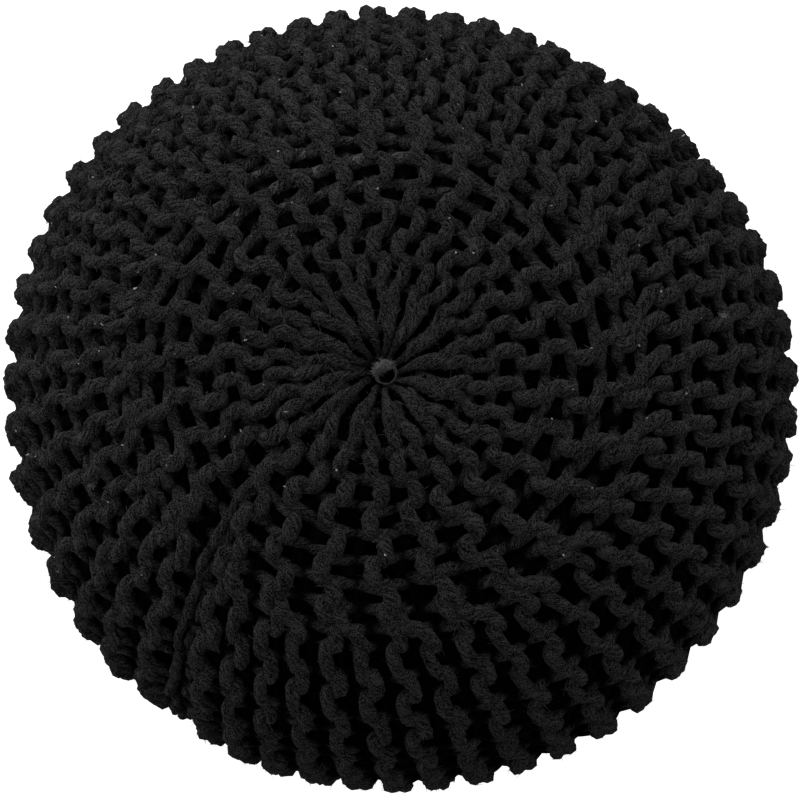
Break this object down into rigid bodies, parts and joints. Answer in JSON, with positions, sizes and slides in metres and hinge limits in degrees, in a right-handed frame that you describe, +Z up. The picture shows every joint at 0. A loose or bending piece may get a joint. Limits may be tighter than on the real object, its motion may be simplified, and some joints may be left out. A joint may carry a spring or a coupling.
{
  "type": "knitted pouf",
  "caption": "Round filled floor pouf with a chunky garter-stitch cotton cover, drawn closed on a cord at the top and flat underneath.",
  "frame": {"origin": "on the floor, at the middle of the flat base", "axes": "+Z up through the gather, +Y to the back (the top of the picture), +X to the right of the picture"},
  "size_m": [0.5091, 0.5031, 0.3329],
  "materials": {
    "cotton_knit": "black loosely plied cotton yarn in garter stitch, matt with a soft fuzz",
    "cord_wool": "dark grey woolly two-ply cord, matt"
  },
  "bodies": {
    "root": {"knit_cover": "cotton_knit", "closing_cord": "cord_wool"}
  },
  "joints": []
}
